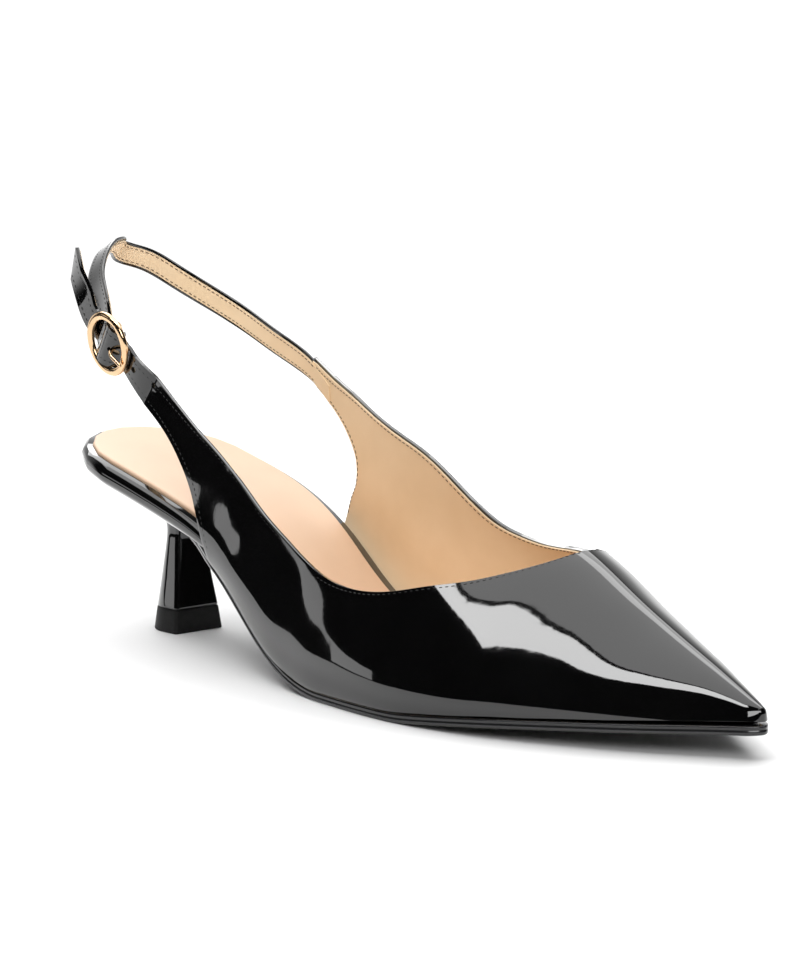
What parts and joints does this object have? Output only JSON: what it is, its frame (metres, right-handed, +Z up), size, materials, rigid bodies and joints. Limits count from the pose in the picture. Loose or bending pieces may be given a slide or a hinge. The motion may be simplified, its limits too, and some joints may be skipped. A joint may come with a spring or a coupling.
{
  "type": "slingback pump",
  "caption": "Pointed-toe slingback pump for the right foot, glossy black upper with a V throat, buckled heel strap and a slim flared kitten heel.",
  "frame": {"origin": "middle of the footprint of the whole shoe, at floor level", "axes": "+X towards the toe, +Y towards the medial side of this right shoe, +Z up"},
  "size_m": [0.2626, 0.0788, 0.1162],
  "materials": {
    "black_patent": "mirror gloss patent",
    "pale_sock": "soft matte lining leather",
    "black_sole": "satin",
    "black_rubber": "matte",
    "pale_gold": "polished"
  },
  "bodies": {
    "root": {"upper": "black_patent", "sling_strap": "black_patent", "insole_board": "black_patent", "insole_sock": "pale_sock", "outsole": "black_sole", "heel": "black_patent", "heel_tip": "black_rubber", "buckle_frame": "pale_gold", "buckle_prong": "pale_gold"}
  },
  "joints": []
}
